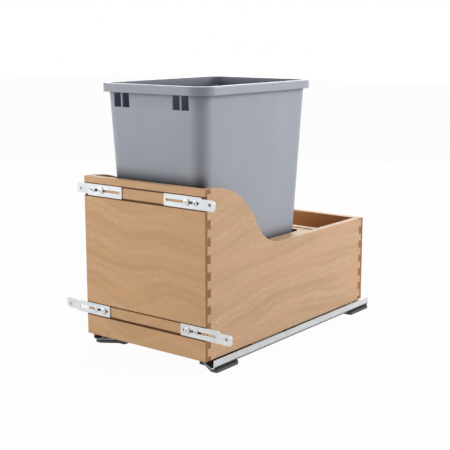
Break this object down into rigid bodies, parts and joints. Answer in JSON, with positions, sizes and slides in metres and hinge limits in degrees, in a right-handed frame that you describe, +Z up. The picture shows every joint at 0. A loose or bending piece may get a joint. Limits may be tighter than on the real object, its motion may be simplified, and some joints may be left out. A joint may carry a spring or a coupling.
{
  "type": "pull-out trash cabinet",
  "caption": "Bottom-mounted pull-out waste box: dovetailed wooden box with shouldered sides on soft-close slides, door brackets, and a lift-out plastic bin through a deck.",
  "frame": {"origin": "middle of the footprint of the closed unit, on the cabinet floor", "axes": "+Z up, -Y towards the door, +X to the right seen from the door"},
  "size_m": [0.4192, 0.5856, 0.5225],
  "materials": {
    "solid_wood": "clear lacquered tan hardwood",
    "plywood": "clear lacquered veneer plywood",
    "bin_plastic": "fine textured grey polypropylene",
    "bracket_steel": "bright zinc plate",
    "slide_steel": "zinc-plated sheet steel",
    "screw_steel": "zinc-plated screws",
    "dark_screw_steel": "zinc-plated screws with dark drive recesses",
    "cage_plastic": "natural nylon",
    "roller_steel": "ground steel",
    "grey_plastic": "moulded grey plastic",
    "lever_plastic": "moulded pale grey plastic",
    "black_plastic": "moulded black plastic"
  },
  "bodies": {
    "cabinet_fixing": {"cabinet_member_left": "slide_steel", "cabinet_member_right": "slide_steel", "front_foot_left": "black_plastic", "front_foot_right": "black_plastic", "rear_foot_left": "black_plastic", "rear_foot_right": "black_plastic", "foot_screws": "screw_steel", "damper_left": "grey_plastic", "damper_right": "grey_plastic", "damper_plunger_left": "roller_steel", "damper_plunger_right": "roller_steel"},
    "box": {"front_board": "solid_wood", "back_board": "solid_wood", "side_board_left": "solid_wood", "side_board_right": "solid_wood", "divider_board": "solid_wood", "bottom_panel": "plywood", "bin_platform": "plywood", "platform_cleat_left": "plywood", "platform_cleat_right": "plywood", "cleat_screws": "screw_steel", "drawer_member_left": "slide_steel", "drawer_member_right": "slide_steel", "locking_clip_left": "grey_plastic", "locking_clip_right": "grey_plastic", "clip_screws": "screw_steel", "bracket_pan_screws": "screw_steel", "bracket_clamp_screws": "dark_screw_steel", "bracket_bushings": "black_plastic"},
    "bin": {"bin": "bin_plastic"},
    "slide_rail_left": {"slide_rail_left": "slide_steel"},
    "lower_carriage_left": {"lower_cage_left": "cage_plastic", "lower_rollers_left": "roller_steel"},
    "upper_carriage_left": {"upper_cage_left": "cage_plastic", "upper_rollers_left": "roller_steel"},
    "slide_rail_right": {"slide_rail_right": "slide_steel"},
    "lower_carriage_right": {"lower_cage_right": "cage_plastic", "lower_rollers_right": "roller_steel"},
    "upper_carriage_right": {"upper_cage_right": "cage_plastic", "upper_rollers_right": "roller_steel"},
    "door_bracket_upper_right": {"door_bracket_upper_right": "bracket_steel"},
    "door_bracket_lower_right": {"door_bracket_lower_right": "bracket_steel"},
    "release_lever_right": {"release_lever_right": "lever_plastic"},
    "door_bracket_upper_left": {"door_bracket_upper_left": "bracket_steel"},
    "door_bracket_lower_left": {"door_bracket_lower_left": "bracket_steel"},
    "release_lever_left": {"release_lever_left": "lever_plastic"}
  },
  "joints": [
    {"name": "box_slide", "type": "slide", "parent": "cabinet_fixing", "child": "box", "axis": [0, -1, 0], "range_m": [0, 0.53]},
    {"name": "slide_rail_left_slide", "type": "slide", "parent": "cabinet_fixing", "child": "slide_rail_left", "axis": [0, -1, 0], "range_m": [0, 0.265]},
    {"name": "lower_carriage_left_slide", "type": "slide", "parent": "cabinet_fixing", "child": "lower_carriage_left", "axis": [0, -1, 0], "range_m": [0, 0.1325]},
    {"name": "upper_carriage_left_slide", "type": "slide", "parent": "cabinet_fixing", "child": "upper_carriage_left", "axis": [0, -1, 0], "range_m": [0, 0.3975]},
    {"name": "slide_rail_right_slide", "type": "slide", "parent": "cabinet_fixing", "child": "slide_rail_right", "axis": [0, -1, 0], "range_m": [0, 0.265]},
    {"name": "lower_carriage_right_slide", "type": "slide", "parent": "cabinet_fixing", "child": "lower_carriage_right", "axis": [0, -1, 0], "range_m": [0, 0.1325]},
    {"name": "upper_carriage_right_slide", "type": "slide", "parent": "cabinet_fixing", "child": "upper_carriage_right", "axis": [0, -1, 0], "range_m": [0, 0.3975]},
    {"name": "bin_lift", "type": "slide", "parent": "box", "child": "bin", "axis": [0, 0, 1], "range_m": [0, 0.5]},
    {"name": "door_bracket_upper_right_slide", "type": "slide", "parent": "box", "child": "door_bracket_upper_right", "axis": [1, 0, 0], "range_m": [-0.0055, 0.0465]},
    {"name": "door_bracket_lower_right_slide", "type": "slide", "parent": "box", "child": "door_bracket_lower_right", "axis": [1, 0, 0], "range_m": [-0.0434, 0.0086]},
    {"name": "release_lever_right_pivot", "type": "hinge", "parent": "box", "child": "release_lever_right", "pos_m": [0.0979, -0.24735, 0.03], "axis": [0, 0, 1], "range_deg": [0, 12], "stiffness_Nm_per_rad": 0.3},
    {"name": "door_bracket_upper_left_slide", "type": "slide", "parent": "box", "child": "door_bracket_upper_left", "axis": [-1, 0, 0], "range_m": [-0.0055, 0.0465]},
    {"name": "door_bracket_lower_left_slide", "type": "slide", "parent": "box", "child": "door_bracket_lower_left", "axis": [-1, 0, 0], "range_m": [-0.0434, 0.0086]},
    {"name": "release_lever_left_pivot", "type": "hinge", "parent": "box", "child": "release_lever_left", "pos_m": [-0.0979, -0.24735, 0.03], "axis": [0, 0, -1], "range_deg": [0, 12], "stiffness_Nm_per_rad": 0.3}
  ],
  "couplings": [
    {"joint": "slide_rail_left_slide", "follows": "box_slide", "ratio": 0.5},
    {"joint": "lower_carriage_left_slide", "follows": "box_slide", "ratio": 0.25},
    {"joint": "upper_carriage_left_slide", "follows": "box_slide", "ratio": 0.75},
    {"joint": "slide_rail_right_slide", "follows": "box_slide", "ratio": 0.5},
    {"joint": "lower_carriage_right_slide", "follows": "box_slide", "ratio": 0.25},
    {"joint": "upper_carriage_right_slide", "follows": "box_slide", "ratio": 0.75}
  ]
}
